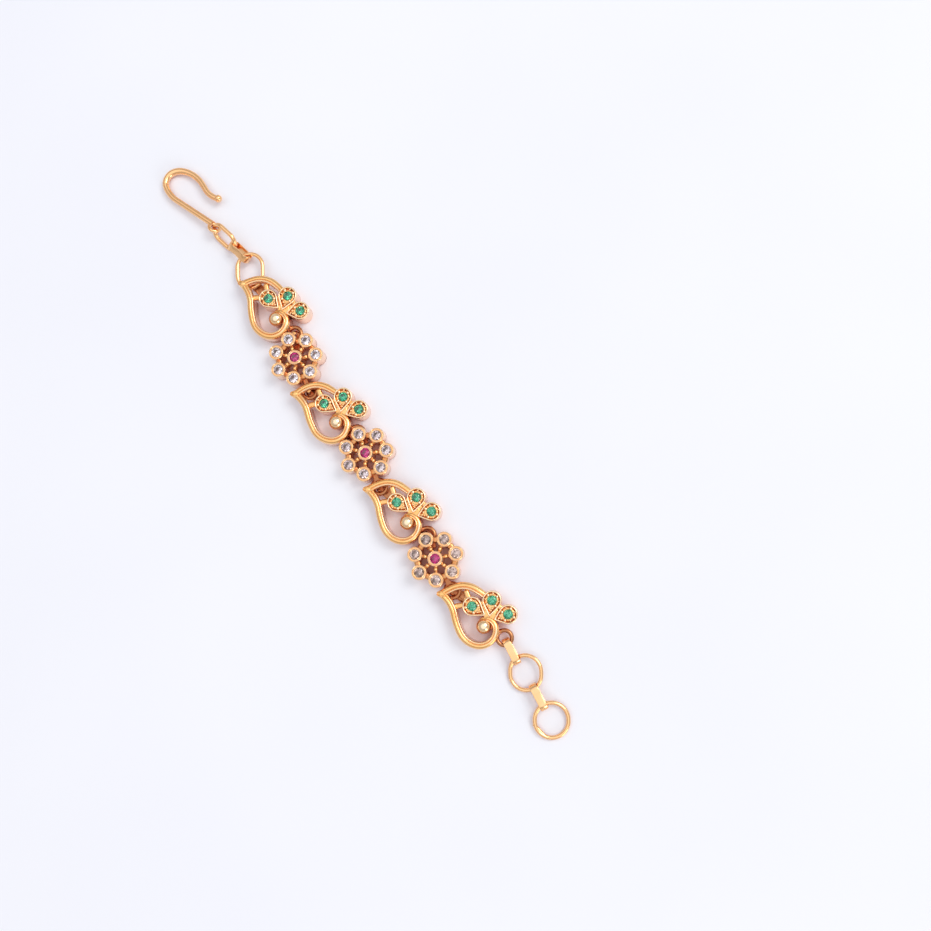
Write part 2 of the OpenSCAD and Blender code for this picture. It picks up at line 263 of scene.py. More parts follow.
def rail_loop(station, width, low, crest, inner):
    """One section of the rail across a station, with its ridge on the inner side."""
    x, y, h = station[:3]
    side = Vector((-math.sin(math.radians(h)), math.cos(math.radians(h))))
    half, foot = width / 2, 0.08
    pts = [(-half * 0.93, low), (-half, low + foot)]
    pts += [(u * half, crest - d * width / RAIL_FULL) for u, d in RAIL_SECTION]
    pts += [(half, low + foot), (half * 0.93, low)]
    return [(x + side.x * u * inner, y + side.y * u * inner, z) for u, z in pts]


def rail(start, arcs, inner):
    """The rail, swept along its arcs, with its width, crest and underside easing from row to row."""
    loops = []
    for s in arc_run(start, [row[:2] for row in arcs]):
        row, share = s[4], s[3]
        before = arcs[row - 1] if row else (0, 0, TIP_WIDTH, arcs[0][3], TIP_CREST)
        ease = 1 - (1 - share) ** 2 if row == 0 else share
        width = before[2] + (arcs[row][2] - before[2]) * ease
        crest = before[4] + (arcs[row][4] - before[4]) * ease
        low = arcs[row][3]
        if before[3] != low and share * arcs[row][0] * math.radians(abs(arcs[row][1])) < 0.3:
            low = before[3] * 0.5
        loops.append(rail_loop(s, width, low, crest, inner))
    return skin(loops)


def drop_radius(r, reach, angle):
    """Distance from the stone to a petal's outline, in a direction measured from its point."""
    open_angle = math.acos(r / reach)
    a = abs(math.remainder(math.radians(angle), 2 * math.pi))
    if a >= open_angle:
        return r
    return min(r / math.cos(open_angle - a), reach - 0.06 + 0.06 * (a / open_angle))


def drop_loop(r, reach, inset, z, sides=72):
    """A petal's outline, scaled in by inset."""
    k = (r - inset) / r
    out = []
    for i in range(sides):
        a = 360 * (i / sides)
        d = drop_radius(r, reach, a) * k
        out.append((d * math.cos(math.radians(a)), d * math.sin(math.radians(a)), z))
    return out


SEAT_R = GREEN_D / 2 + 0.03
BACK_R = 0.65


def stone_z(d, rim):
    return rim - TABLE_DROP - d * (CROWN + GIRDLE / 2)


def petal_shell(reach):
    """An open-backed drop with a thin round rim, a sunk floor and a seat bored through it."""
    ledge = stone_z(GREEN_D, CAST_TOP) - 0.2 * GREEN_D
    rim = [(0.05, 0.0), (0.01, 0.03), (0, 0.09), (0, 1.6), (0, 3.2), (0.012, 3.32), (0.045, 3.42),
           (0.1, 3.48), (0.17, 3.5), (0.24, 3.485), (0.29, 3.43), (0.325, 3.33), (0.345, 3.2),
           (0.365, 3.05), (0.39, 2.94), (0.44, CREVICE_Z), (0.5, 2.91), (0.57, 2.98), (0.66, 3.04)]
    loops = [drop_loop(DROP_R, reach, t, z) for t, z in rim]
    sides = len(loops[0])
    loops += [circle(SEAT_R + 0.1, FLOOR_Z, sides), circle(SEAT_R + 0.03, FLOOR_Z, sides),
              circle(SEAT_R, FLOOR_Z - 0.04, sides), circle(SEAT_R, ledge, sides),
              circle(BACK_R, ledge, sides), circle(BACK_R, 0.05, sides), circle(BACK_R + 0.04, 0, sides)]
    return skin(loops, ring=True)


def drop_block(reach, inset, low, high):
    return skin([drop_loop(DROP_R, reach, inset, low), drop_loop(DROP_R, reach, inset, high)])


# Lip of a collet from its wall over two beads to the stone: radius, depth below the rim
COLLET_LIP = [(COLLET_R, 0.34), (1.44, 0.22), (1.41, 0.12), (1.36, 0.04), (1.31, 0.01), (1.26, 0.04),
              (1.22, 0.13), (1.18, 0.21), (1.12, 0.21), (1.07, 0.12), (1.03, 0.03), (0.98, 0),
              (0.935, 0.025), (0.9, 0.085), (0.885, 0.17), (0.9, 0.2)]


def collet_shell(top, d, back):
    """A tube with a round lip that holds a stone; back is where its hollow starts."""
    bore, ledge = d / 2 + 0.03, stone_z(d, top) - 0.2 * d
    lip = [(1.38, 0.0), (1.43, 0.03), (COLLET_R, 0.09), (COLLET_R, 1.6)]
    lip += [(r, top - drop) for r, drop in COLLET_LIP]
    inside = [(bore, top - 0.27), (bore, ledge), (BACK_R, ledge)]
    if back <= 0:
        return lathe(lip + inside + [(BACK_R, 0.05), (BACK_R + 0.04, 0.0)], ring=True)
    return lathe([(0, 0.0)] + lip + inside + [(BACK_R, back), (0, back)])


# Meshes

def new_mesh(name, shell):
    """A mesh object in metres from a shell in millimetres."""
    points, faces = shell
    mesh = bpy.data.meshes.new(name)
    mesh.from_pydata([tuple(c * MM for c in p) for p in points], [], faces)
    work = bmesh.new()
    work.from_mesh(mesh)
    bmesh.ops.remove_doubles(work, verts=work.verts, dist=1e-9)
    bmesh.ops.recalc_face_normals(work, faces=work.faces)
    work.to_mesh(mesh)
    work.free()
    obj = bpy.data.objects.new(name, mesh)
    bpy.context.scene.collection.objects.link(obj)
    return obj


def combine(obj, shell, operation):
    """Adds a shell to a mesh, or cuts it away."""
    tool = new_mesh("tool", shell)
    join = obj.modifiers.new("join", "BOOLEAN")
    join.operation, join.solver, join.object = operation, "MANIFOLD", tool
    bpy.context.view_layer.update()
    made = bpy.data.meshes.new_from_object(obj.evaluated_get(bpy.context.evaluated_depsgraph_get()))
    old, name = obj.data, obj.data.name
    obj.modifiers.clear()
    obj.data = made
    bpy.data.meshes.remove(old)
    made.name = name
    scrap = tool.data
    bpy.data.objects.remove(tool)
    bpy.data.meshes.remove(scrap)
    return obj


def fused(name, shells):
    obj = new_mesh(name, shells[0])
    for shell in shells[1:]:
        combine(obj, shell, "UNION")
    return obj


def merged(shells):
    """Shells that don't meet, as one."""
    points, faces = [], []
    for p, f in shells:
        faces += [tuple(i + len(points) for i in face) for face in f]
        points += p
    return points, faces


def copy_of(obj, name, at, heading):
    """A copy of a mesh made in a link's own frame, at the link's place."""
    mesh = obj.data.copy()
    turned = Matrix.Rotation(math.radians(heading), 4, "Z")
    mesh.transform(Matrix.Translation((at[0] * MM, at[1] * MM, 0)) @ turned)
    made = bpy.data.objects.new(name, mesh)
    mesh.name = name
    bpy.context.scene.collection.objects.link(made)
    return made


def drop_object(obj):
    mesh = obj.data
    bpy.data.objects.remove(obj)
    bpy.data.meshes.remove(mesh)


def shade(obj, angle):
    for p in obj.data.polygons:
        p.use_smooth = True
    obj.data.set_sharp_from_angle(angle=math.radians(angle))


def piece(obj, node, material, sharp=38):
    """Gives a finished mesh its place in the chain."""
    if sharp:
        shade(obj, sharp)
    obj.data.materials.clear()
    obj.data.materials.append(material)
    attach(obj, "root")
    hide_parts(node)
    return obj


# Materials

def node_tree(name):
    m = bpy.data.materials.new(name)
    m.use_nodes = True
    return m, m.node_tree.nodes, m.node_tree.links, m.node_tree.nodes["Principled BSDF"]


def ramp(nodes, stops):
    r = nodes.new("ShaderNodeValToRGB")
    for i, (at, colour) in enumerate(stops):
        e = r.color_ramp.elements[i] if i < 2 else r.color_ramp.elements.new(at)
        e.position = at
        e.color = (*colour, 1)
    return r


def noise(nodes, links, source, scale, detail=3.0, stretch=None):
    n = nodes.new("ShaderNodeTexNoise")
    n.inputs["Scale"].default_value = scale
    n.inputs["Detail"].default_value = detail
    if stretch:
        m = nodes.new("ShaderNodeMapping")
        m.inputs["Scale"].default_value = stretch
        links.new(source, m.inputs["Vector"])
        source = m.outputs["Vector"]
    links.new(source, n.inputs["Vector"])
    return n


def blend_colour(nodes, links, how, factor, first, second):
    """Blends two colours; the factor and each colour may be a value or another node's output."""
    mix = nodes.new("ShaderNodeMix")
    mix.data_type, mix.blend_type = "RGBA", how
    for socket, value in (("Factor", factor), ("A", first), ("B", second)):
        if isinstance(value, bpy.types.NodeSocket):
            links.new(value, mix.inputs[socket])
        elif socket == "Factor":
            mix.inputs[socket].default_value = value
        else:
            mix.inputs[socket].default_value = (*value, 1)
    return mix.outputs["Result"]


def gilt(name, top, wall, polished, crevice_shade, low_shade, crests, rough, grain, grain_scale):
    """Satin gilding, finely grained, with painted light: upright walls paler by painted reflection, painted
    shade low down and in its corners, and a painted highlight on its ridges, in the ranges of height that
    crests lists."""
    m, nodes, links, bsdf = node_tree(name)
    where = nodes.new("ShaderNodeTexCoord").outputs["Object"]
    form = nodes.new("ShaderNodeNewGeometry")
    bsdf.inputs["Metallic"].default_value = 1.0
    bsdf.inputs["Coat Weight"].default_value = 0.15
    bsdf.inputs["Coat Roughness"].default_value = 0.22

    cloud = noise(nodes, links, where, 420, 4)
    tone = ramp(nodes, [(0.3, tuple(c * k for c, k in zip(top, (0.95, 0.86, 0.72)))), (0.62, top)])
    links.new(cloud.outputs["Fac"], tone.inputs["Fac"])

    place = nodes.new("ShaderNodeSeparateXYZ")
    links.new(where, place.inputs["Vector"])
    height = nodes.new("ShaderNodeMapRange")
    height.inputs["From Max"].default_value = 5 * MM
    links.new(place.outputs["Z"], height.inputs["Value"])
    # Painted shade: below 1.7 mm the darker low colour replaces the top colour, fading out by 2.6 mm.
    sunk = ramp(nodes, [(1.7 / 5, (1, 1, 1)), (2.6 / 5, (0, 0, 0))])
    links.new(height.outputs["Result"], sunk.inputs["Fac"])
    with_low_shade = blend_colour(nodes, links, "MIX", sunk.outputs["Color"], tone.outputs["Color"], low_shade)

    # Painted reflection: surfaces that face sideways take the paler wall colour, as if they mirrored the
    # bright floor.
    split = nodes.new("ShaderNodeSeparateXYZ")
    links.new(form.outputs["Normal"], split.inputs["Vector"])
    upright = ramp(nodes, [(0.1, (1, 1, 1)), (0.55, (0, 0, 0))])
    links.new(split.outputs["Z"], upright.inputs["Fac"])
    with_wall_reflection = blend_colour(nodes, links, "MIX", upright.outputs["Color"], with_low_shade, wall)

    # Painted highlight: ridges in the ranges of height that crests lists take the bright highlight colour.
    stops = []
    for low, high in crests:
        stops += [((low - 0.06) / 5, (0, 0, 0)), (low / 5, (1, 1, 1)), (high / 5, (1, 1, 1)),
                  ((high + 0.03) / 5, (0, 0, 0))]
    ridge = ramp(nodes, stops)
    links.new(height.outputs["Result"], ridge.inputs["Fac"])
    with_highlight = blend_colour(nodes, links, "MIX", ridge.outputs["Color"], with_wall_reflection, polished)

    # Painted shade: ambient occlusion darkens hollows and corners, reddish on low parts and tan on raised
    # parts.
    ao = nodes.new("ShaderNodeAmbientOcclusion")
    ao.samples = 6
    ao.inputs["Distance"].default_value = 1.7 * MM
    crevice_shade_ramp = ramp(nodes, [(0.05, crevice_shade), (0.5, (1, 1, 1))])
    light = ramp(nodes, [(0.05, (0.78, 0.62, 0.52)), (0.26, (1.0, 1.04, 1.18)), (0.6, (1, 1, 1))])
    raised = ramp(nodes, [(2.3 / 5, (0, 0, 0)), (2.75 / 5, (1, 1, 1))])
    links.new(ao.outputs["AO"], crevice_shade_ramp.inputs["Fac"])
    links.new(ao.outputs["AO"], light.inputs["Fac"])
    links.new(height.outputs["Result"], raised.inputs["Fac"])
    corner = blend_colour(nodes, links, "MIX", raised.outputs["Color"], crevice_shade_ramp.outputs["Color"],
                          light.outputs["Color"])
    links.new(blend_colour(nodes, links, "MULTIPLY", 1.0, with_highlight, corner), bsdf.inputs["Base Color"])

    patch = noise(nodes, links, where, 900, 3)
    polish = nodes.new("ShaderNodeMapRange")
    polish.inputs["To Min"].default_value = rough - 0.06
    polish.inputs["To Max"].default_value = rough + 0.1
    links.new(patch.outputs["Fac"], polish.inputs["Value"])
    links.new(polish.outputs["Result"], bsdf.inputs["Roughness"])

    fine = noise(nodes, links, where, grain_scale, 5)
    bump = nodes.new("ShaderNodeBump")
    bump.inputs["Strength"].default_value = grain
    bump.inputs["Distance"].default_value = 0.05 * MM
    links.new(fine.outputs["Fac"], bump.inputs["Height"])
    links.new(bump.outputs["Normal"], bsdf.inputs["Normal"])
    return m


def gem(name, dark, light, clear, ior):
    """Cut glass: facets that lean different ways get painted reflections, some dark and some bright, with a
    faint cloud inside.
    """
    m, nodes, links, bsdf = node_tree(name)
    where = nodes.new("ShaderNodeTexCoord").outputs["Object"]
    form = nodes.new("ShaderNodeNewGeometry")
    # Painted reflection: each facet is dark or bright according to the way it faces.
    facet = noise(nodes, links, form.outputs["True Normal"], 3.4, 1)
    tone = ramp(nodes, [(0.45, dark), (0.54, light)])
    links.new(facet.outputs["Fac"], tone.inputs["Fac"])
    cloud = noise(nodes, links, where, 800, 2)
    depth = ramp(nodes, [(0.3, (0.78, 0.78, 0.78)), (0.7, (1, 1, 1))])
    links.new(cloud.outputs["Fac"], depth.inputs["Fac"])
    links.new(blend_colour(nodes, links, "MULTIPLY", 1.0, tone.outputs["Color"], depth.outputs["Color"]),
              bsdf.inputs["Base Color"])
    bsdf.inputs["Transmission Weight"].default_value = clear
    bsdf.inputs["IOR"].default_value = ior
    bsdf.inputs["Roughness"].default_value = 0.03
    return m


# Ranges of height, in millimetres, in which the castings' ridges get a painted highlight
CAST_CRESTS = [(3.31, 3.42), (3.47, 3.52), (3.66, 3.9), (4.06, 4.2)]
PLAIN = [(4.5, 4.6)]
# Each gilding's wall, low, crevice and ridge colours are painted reflection, painted shade and painted
# highlight.
CASTING = gilt("gilt_casting", top=(0.95, 0.575, 0.235), wall=(1.0, 0.71, 0.53), polished=(1.0, 0.79, 0.52),
               crevice_shade=(0.8, 0.34, 0.19), low_shade=(0.46, 0.2, 0.085), crests=CAST_CRESTS,
               rough=0.19, grain=0.3, grain_scale=5200)
WIRE = gilt("gilt_wire", top=(1.0, 0.61, 0.29), wall=(1.0, 0.64, 0.38), polished=(1.0, 0.84, 0.58),
            crevice_shade=(0.62, 0.22, 0.09), low_shade=(1.0, 0.6, 0.28), crests=PLAIN,
            rough=0.17, grain=0.12, grain_scale=2600)
SHEET = gilt("gilt_strip", top=(1.0, 0.64, 0.33), wall=(1.0, 0.66, 0.4), polished=(1.0, 0.86, 0.6),
             crevice_shade=(0.7, 0.26, 0.12), low_shade=(1.0, 0.62, 0.3), crests=PLAIN,
             rough=0.18, grain=0.2, grain_scale=3600)
# The clear stones' painted facet reflections are whitest in the first flower and smokiest in the last
CLEARS = [gem("clear_stone_1", dark=(0.3, 0.22, 0.24), light=(1.0, 0.97, 1.0), clear=1.0, ior=1.9),
          gem("clear_stone_2", dark=(0.17, 0.1, 0.09), light=(0.95, 0.84, 0.86), clear=1.0, ior=1.9),
          gem("clear_stone_3", dark=(0.1, 0.05, 0.035), light=(0.86, 0.66, 0.58), clear=1.0, ior=1.9)]
RED = gem("red_stone", dark=(0.3, 0.0, 0.08), light=(0.85, 0.04, 0.3), clear=0.85, ior=1.77)
GREEN = gem("green_stone", dark=(0.0, 0.15, 0.06), light=(0.12, 0.7, 0.4), clear=0.9, ior=1.75)


# Stones

def brilliant(d):
    """A round brilliant: table, 8 stars, 8 kites, 16 upper and 16 lower facets and 8 mains."""
    r, table_r = d / 2, d / 2 * TABLE
    top, foot = d * (CROWN + GIRDLE / 2), -d * PAVILION
    edge = d * GIRDLE / 2
    star_r, main_r = r * 0.8, r * 0.28
    half = math.radians(22.5)
    star_z = edge + (top - edge) * (r - star_r * math.cos(half)) / (r - table_r)
    main_z = -edge + (foot + edge) * (r - main_r * math.cos(half)) / r
    pts = [(0, 0, foot)]
    for i in range(8):
        a = 2 * half * i
        pts.append((table_r * math.cos(a), table_r * math.sin(a), top))
        pts.append((star_r * math.cos(a + half), star_r * math.sin(a + half), star_z))
        pts.append((main_r * math.cos(a + half), main_r * math.sin(a + half), main_z))
        for s in (-edge, edge):
            pts.append((r * math.cos(a), r * math.sin(a), s))
            pts.append((r * math.cos(a + half), r * math.sin(a + half), s))
    work = bmesh.new()
    for p in pts:
        work.verts.new([c * MM for c in p])
    bmesh.ops.convex_hull(work, input=work.verts)
    bmesh.ops.dissolve_limit(work, angle_limit=math.radians(1.5), verts=work.verts, edges=work.edges)
    bmesh.ops.recalc_face_normals(work, faces=work.faces)
    mesh = bpy.data.meshes.new("brilliant")
    work.to_mesh(mesh)
    work.free()
    return mesh


def middle(node):
    low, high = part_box(node)
    return (low + high) / 2 / MM


def stone(node, name, d, rim, material, master, spin):
    """A cut stone in the place of its solid, turned as a setter happened to drop it in."""
    at = middle(node)
    mesh = master.copy()
    tilt = Matrix.Rotation(math.radians(spin.uniform(-4, 4)), 4, "X") @ Matrix.Rotation(
        math.radians(spin.uniform(-4, 4)), 4, "Y")
    mesh.transform(Matrix.Translation((at.x * MM, at.y * MM, stone_z(d, rim) * MM)) @ tilt
                   @ Matrix.Rotation(math.radians(spin.uniform(0, 45)), 4, "Z"))
    mesh.name = name
    obj = bpy.data.objects.new(name, mesh)
    bpy.context.scene.collection.objects.link(obj)
    return piece(obj, node, material, sharp=0)


# Where each link stands: its stones say so

def flower_place(k):
    c = middle(f"flower_{k}_centre_stone")
    ahead = middle(f"flower_{k}_stone_1") + middle(f"flower_{k}_stone_2") - 2 * c
    return (c.x, c.y, math.degrees(math.atan2(ahead.y, ahead.x)))


def paisley_place(k):
    first, last = middle(f"paisley_{k}_stone_1"), middle(f"paisley_{k}_stone_3")
    heading = math.degrees(math.atan2(last.y - first.y, last.x - first.x))
    dx, dy = turn(DROPS[0][:2], heading)
    return (first.x - dx, first.y - dy, heading)


def outward(place, p):
    dx, dy = turn(p, place[2])
    return (place[0] + dx, place[1] + dy)


def inward(place, p):
    return turn((p[0] - place[0], p[1] - place[1]), -place[2])


flowers = {k: flower_place(k) for k in (1, 2, 3)}
paisleys = {k: paisley_place(k) for k in (1, 2, 3, 4)}


# Links

def catch_shells(post, anchor, top):
    """The post that a loop hangs on, and the bar that carries it."""
    way = (anchor[0] - post[0], anchor[1] - post[1])
    length = math.hypot(*way)
    heading = math.degrees(math.atan2(way[1], way[0]))
    beam = moved(bar(length, POST_D, BAR_LOW + 0.01, BAR_LOW + BAR_H), post, heading)
    plate = moved(bar(length, 2 * PLATE_R, BAR_LOW + 0.02, BAR_LOW + PLATE_H - 0.01), post, heading)
    disc = moved(pillar(PLATE_R, BAR_LOW, BAR_LOW + PLATE_H), post)
    return [beam, plate, disc, moved(pillar(POST_D / 2, BAR_LOW + 0.03, top), post),
            moved(pillar(POST_D / 2, BAR_LOW + 0.03, top), anchor)]


def loop_shell(at):
    return torus(LOOP_R, LOOP_WIRE, (at[0], at[1], LOOP_Z))


def petal_angle(i):
    return (i - 0.5) * 360 / PETALS


def web_shell():
    """The ring that joins a flower's collets, rounded more above than below."""
    edge, crown = 0.1, [(0, 0.35), (0.05, 0.2), (0.18, 0.07), (0.4, 0)]
    profile = [(WEB_IN, WEB_LOW + edge), (WEB_IN + edge, WEB_LOW)]
    profile += [(WEB_OUT - edge, WEB_LOW), (WEB_OUT, WEB_LOW + edge)]
    profile += [(WEB_OUT - x, WEB_TOP - z) for x, z in crown]
    profile += [(WEB_IN + x, WEB_TOP - z) for x, z in crown[::-1]]
    return lathe(profile, 84, ring=True)


def flower_master():
    shells = [collet_shell(CAST_TOP + CENTRE_LIFT, CLEAR_D, CENTRE_BACK), web_shell()]
    far, r, z = SPOKE_BEAD
    for i in range(PETALS):
        a = petal_angle(i)
        spoke = bar(COLLET_CIRCLE - SPOKE_SHORT, SPOKE_W, SPOKE_LOW, SPOKE_TOP, 0.25)
        shells.append(moved(spoke, turn((SPOKE_START, 0), a), a))
        shells.append(moved(collet_shell(CAST_TOP, CLEAR_D, 0), turn((COLLET_CIRCLE, 0), a)))
        shells.append(ball(r, (*turn((far, 0), a), z), 20))
    return fused("flower_master", shells)


def flower(k, master):
    post = inward(flowers[k], outward(paisleys[k], PAISLEY_LOOP))
    obj = copy_of(master, f"flower_{k}_casting", (0, 0), 0)
    combine(obj, moved(pillar(LOOP_ROOM, -1, ROOM_TOP, 0.05, 56), post), "DIFFERENCE")
    length = FLOWER_LOOP[0] - LOOP_R - NECK_SHORT
    neck = bar(length, NECK_W, LOOP_Z - LOOP_WIRE / 2, LOOP_Z + LOOP_WIRE / 2)
    combine(obj, moved(neck, (NECK_START, 0)), "UNION")
    combine(obj, loop_shell(FLOWER_LOOP), "UNION")
    for shell in catch_shells(post, FLOWER_ANCHOR, ROOM_TOP + 0.2):
        combine(obj, shell, "UNION")
    placed = copy_of(obj, f"flower_{k}_link", flowers[k][:2], flowers[k][2])
    drop_object(obj)
    return piece(placed, f"flower_{k}", CASTING)


def tip_shell():
    """The point where the two sides of the rail meet."""
    rim = [(0.05, 0), (0, 0.06), (0, 0.55), (0.03, 0.72), (0.1, 0.86), (0.22, 0.98), (0.4, 1.06),
           (0.6, 1.1)]
    loops = [drop_loop(TIP_R, TIP_REACH, t, RAIL_RAISED + z, 40) for t, z in rim]
    loops.append([(0.0, 0.0, RAIL_RAISED + 1.11)])
    return moved(skin(loops), TIP_AT, TIP_TURN)


def paisley_master():
    webs = [moved(bar(length, 1.06, BRIDGE_LOW, top, 0.4), (x, y), a) for x, y, a, length, top in BRIDGES]
    webs.append(moved(pillar(POINTS_PLATE[2], BRIDGE_LOW + 0.01, BRIDGE_TOP - 0.01), POINTS_PLATE[:2]))
    webs += [moved(bar(length, w, 2.0, top, 0.3), (x, y), a) for x, y, a, length, w, top in SOLDER]
    obj = fused("paisley_master", webs)
    for x, y, a, reach in DROPS:
        combine(obj, moved(drop_block(reach, 0.15, -1, 5), (x, y), a), "DIFFERENCE")
    petals = [moved(petal_shell(reach), (x, y), a) for x, y, a, reach in DROPS]
    core = [moved(pillar(BALL_D / 2 - 0.25, 0.01, BALL_TOP - BALL_D / 2 + 0.2), BALL),
            ball(BALL_D / 2, (*BALL, BALL_TOP - BALL_D / 2), 48), moved(pillar(*CUP[2:]), CUP[:2])]
    rails = [rail(SIDE_START, SIDE_ARCS, 1), rail(TOP_START, TOP_ARCS, -1), tip_shell()]
    for shell in petals + core + rails:
        combine(obj, shell, "UNION")
    for group, sides in ((BEADS, 18), (SEEDS, 12)):
        grains = []
        for x, y, a, reach in DROPS:
            for far, way, r, z in group:
                dx, dy = turn((far, 0), a + way)
                grains.append(ball(r, (x + dx, y + dy, z), sides))
        combine(obj, merged(grains), "UNION")
    return obj


def paisley(k, master):
    post = RING_POST if k == 1 else inward(paisleys[k], outward(flowers[k - 1], FLOWER_LOOP))
    obj = copy_of(master, "work", (0, 0), 0)
    combine(obj, loop_shell(PAISLEY_LOOP), "UNION")
    for shell in catch_shells(post, PETAL_ANCHOR, RAIL_RAISED + 0.3):
        combine(obj, shell, "UNION")
    placed = copy_of(obj, f"paisley_{k}_link", paisleys[k][:2], paisleys[k][2])
    drop_object(obj)
    return piece(placed, f"paisley_{k}", CASTING)


# Wire

def tube(path, radii, sides=20, closed=False):
    """A round wire along a path of points, with one radius a point."""
    n = len(path)
    path = [Vector(p) for p in path]
    ahead = [(path[(i + 1) % n] - path[i - 1]).normalized() if closed else
             (path[min(i + 1, n - 1)] - path[max(i - 1, 0)]).normalized() for i in range(n)]
    side = ahead[0].orthogonal().normalized()
    loops = []
    for i in range(n):
        if i:
            side = (side - ahead[i] * side.dot(ahead[i])).normalized()
        up = ahead[i].cross(side)
        loops.append([path[i] + (side * math.cos(a) + up * math.sin(a)) * radii[i]
                      for a in (2 * math.pi * s / sides for s in range(sides))])
    return skin(loops, ring=closed)


def ring_path(ring, lean_along):
    """Two half rounds and two straights, in the ring's own leaning plane."""
    (cx, cy, cz), heading, lean, straight, r, _ = ring
    flat = []
    for s, first in ((1, -90), (-1, 90)):
        steps = [math.radians(first + a) for a in range(0, 181, 5)]
        flat += [(s * straight / 2 + r * math.cos(a), r * math.sin(a)) for a in steps]
    c, s = math.cos(math.radians(lean)), math.sin(math.radians(lean))
    out = []
    for p in flat:
        if lean_along:
            x, y = turn((p[0], p[1] * c), heading)
            z = p[1] * s
        else:
            x, y = turn(p, heading)
            y, z = y * c, y * s
        out.append((cx + x, cy + y, cz + z))
    return out


def wire_ring(name, node, ring, lean_along=False, seam=0, swell=0.08, spread=3):
    """A jump ring, whose soldered seam swells a little."""
    path = ring_path(ring, lean_along)
    n = len(path)
    radii = []
    for i in range(n):
        off = min(abs(i - seam), n - abs(i - seam))
        radii.append(ring[5] / 2 * (RING_PLUMP + swell * math.exp(-off * off / spread)))
    return piece(fused(name, [tube(path, radii, closed=True)]), node, WIRE)


def end_ring():
    """The end ring lies tipped about Y, and one end of its wire is lapped along the other."""
    (cx, cy, cz), heading, pitch, straight, r, wire = END_RING
    flat = ring_path(((0, 0, 0), heading, 0, straight, r, wire), False)
    tip = Matrix.Translation((cx, cy, cz)) @ Matrix.Rotation(math.radians(pitch), 4, "Y")
    path = [tip @ Vector(p) for p in flat]
    half = [(0.4, 1), (0.85, 1), (0.96, 0.8), (1, 0.35)]
    rows = [(-t, k) for t, k in half[::-1]] + [(0, 1)] + half
    lap = [tip @ Vector((*turn((LAP_R, t * (LAP_L / 2 + 0.3)), LAP_TURN), 0)) for t, _ in rows]
    shells = [tube(path, [wire / 2 * END_PLUMP] * len(path), closed=True)]
    shells.append(tube(lap, [LAP_WIRE / 2 * k for _, k in rows]))
    return piece(fused("end_ring_wire", shells), "end_ring", WIRE)


def strip(name, node, place):
    """A folded sheet: a flat tube with a seam across its upper side."""
    (cx, cy, cz), heading, roll = place
    mid, half = (STRIP_H - STRIP_T) / 2, (STRIP_L - STRIP_H) / 2

    def fold(x, first, last):
        steps = [(math.radians(a), a) for a in range(first, last + 1, 10)]
        return [(x + mid * math.cos(r), mid * math.sin(r), a) for r, a in steps]
    line = fold(half, -90, 90)
    for i in range(1, 12):
        u = 1 - i / 6
        lean = 57 * STRIP_SAG / half * 4 * u * (1 - u * u)
        line.append((half * u, mid - STRIP_SAG * (1 - u * u) ** 2, 90 - lean))
    line += fold(-half, 90, 270)
    w, t, edge = STRIP_W / 2, STRIP_T / 2, 0.06
    section = [(w - edge, t), (w - edge * 0.3, t - edge * 0.3), (w, t - edge), (w, -t + edge),
               (w - edge * 0.3, -t + edge * 0.3), (w - edge, -t)]
    section += [(-a, -b) for a, b in section]
    turned = Matrix.Rotation(math.radians(heading), 4, "Z") @ Matrix.Rotation(math.radians(roll), 4, "X")
    turned = Matrix.Translation((cx, cy, cz)) @ turned
    loops = []
    for x, z, a in line:
        out = Vector((math.cos(math.radians(a)), 0, math.sin(math.radians(a))))
        loops.append([turned @ (Vector((x, v, z)) + out * u) for v, u in section])
    return piece(fused(name, [skin(loops, ring=True)]), node, SHEET)


def ear_hook():
    (cx, cy, cz), heading, lean, straight, r, _ = HOOK_RING
    dx, dy = turn((-(straight / 2 + r), 0), heading)
    tip = Matrix.Translation((cx + dx, cy + dy, cz)) @ Matrix.Rotation(math.radians(-HOOK_PITCH), 4, "Y")
    stations = arc_run(HOOK_START, [(r_, t) for r_, t, _ in HOOK_ARCS], 0.3)
    path, radii = [], []
    for s in stations:
        row = s[4]
        before = HOOK_ARCS[max(row - 1, 0)][2]
        path.append(tip @ Vector((s[0], s[1], 0)))
        radii.append((before + (HOOK_ARCS[row][2] - before) * s[3]) / 2)
    end = stations[-1]
    knob = moved(ball(HOOK_BALL / 2, (0, 0, 0), 32))
    knob = ([tip @ (Vector(p) + Vector((end[0], end[1], 0))) for p in knob[0]], knob[1])
    eye = torus(EYE_R, EYE_WIRE, (0, 0, 0))
    stand = tip @ Matrix.Rotation(math.radians(heading), 4, "Z")
    stand = stand @ Matrix.Rotation(math.radians(lean - 90), 4, "X")
    eye = ([stand @ Vector(p) for p in eye[0]], eye[1])
    return piece(fused("ear_hook_wire", [tube(path, radii, 24), knob, eye]), "ear_hook", WIRE)


# The chain

flower_form, paisley_form = flower_master(), paisley_master()
for k in flowers:
    flower(k, flower_form)
for k in paisleys:
    paisley(k, paisley_form)
drop_object(flower_form)
drop_object(paisley_form)

spin = random.Random(7)
clear_cut, green_cut = brilliant(CLEAR_D), brilliant(GREEN_D)
for k in flowers:
    for i in range(1, PETALS + 1):
        stone(f"flower_{k}_stone_{i}", f"clear_{k}_{i}", CLEAR_D, CAST_TOP,
              CLEARS[k - 1], clear_cut, spin)
    stone(f"flower_{k}_centre_stone", f"red_{k}", CLEAR_D, CAST_TOP + CENTRE_LIFT,
          RED, clear_cut, spin)
for k in paisleys:
    for i in range(1, 4):
        stone(f"paisley_{k}_stone_{i}", f"green_{k}_{i}", GREEN_D, CAST_TOP,
              GREEN, green_cut, spin)

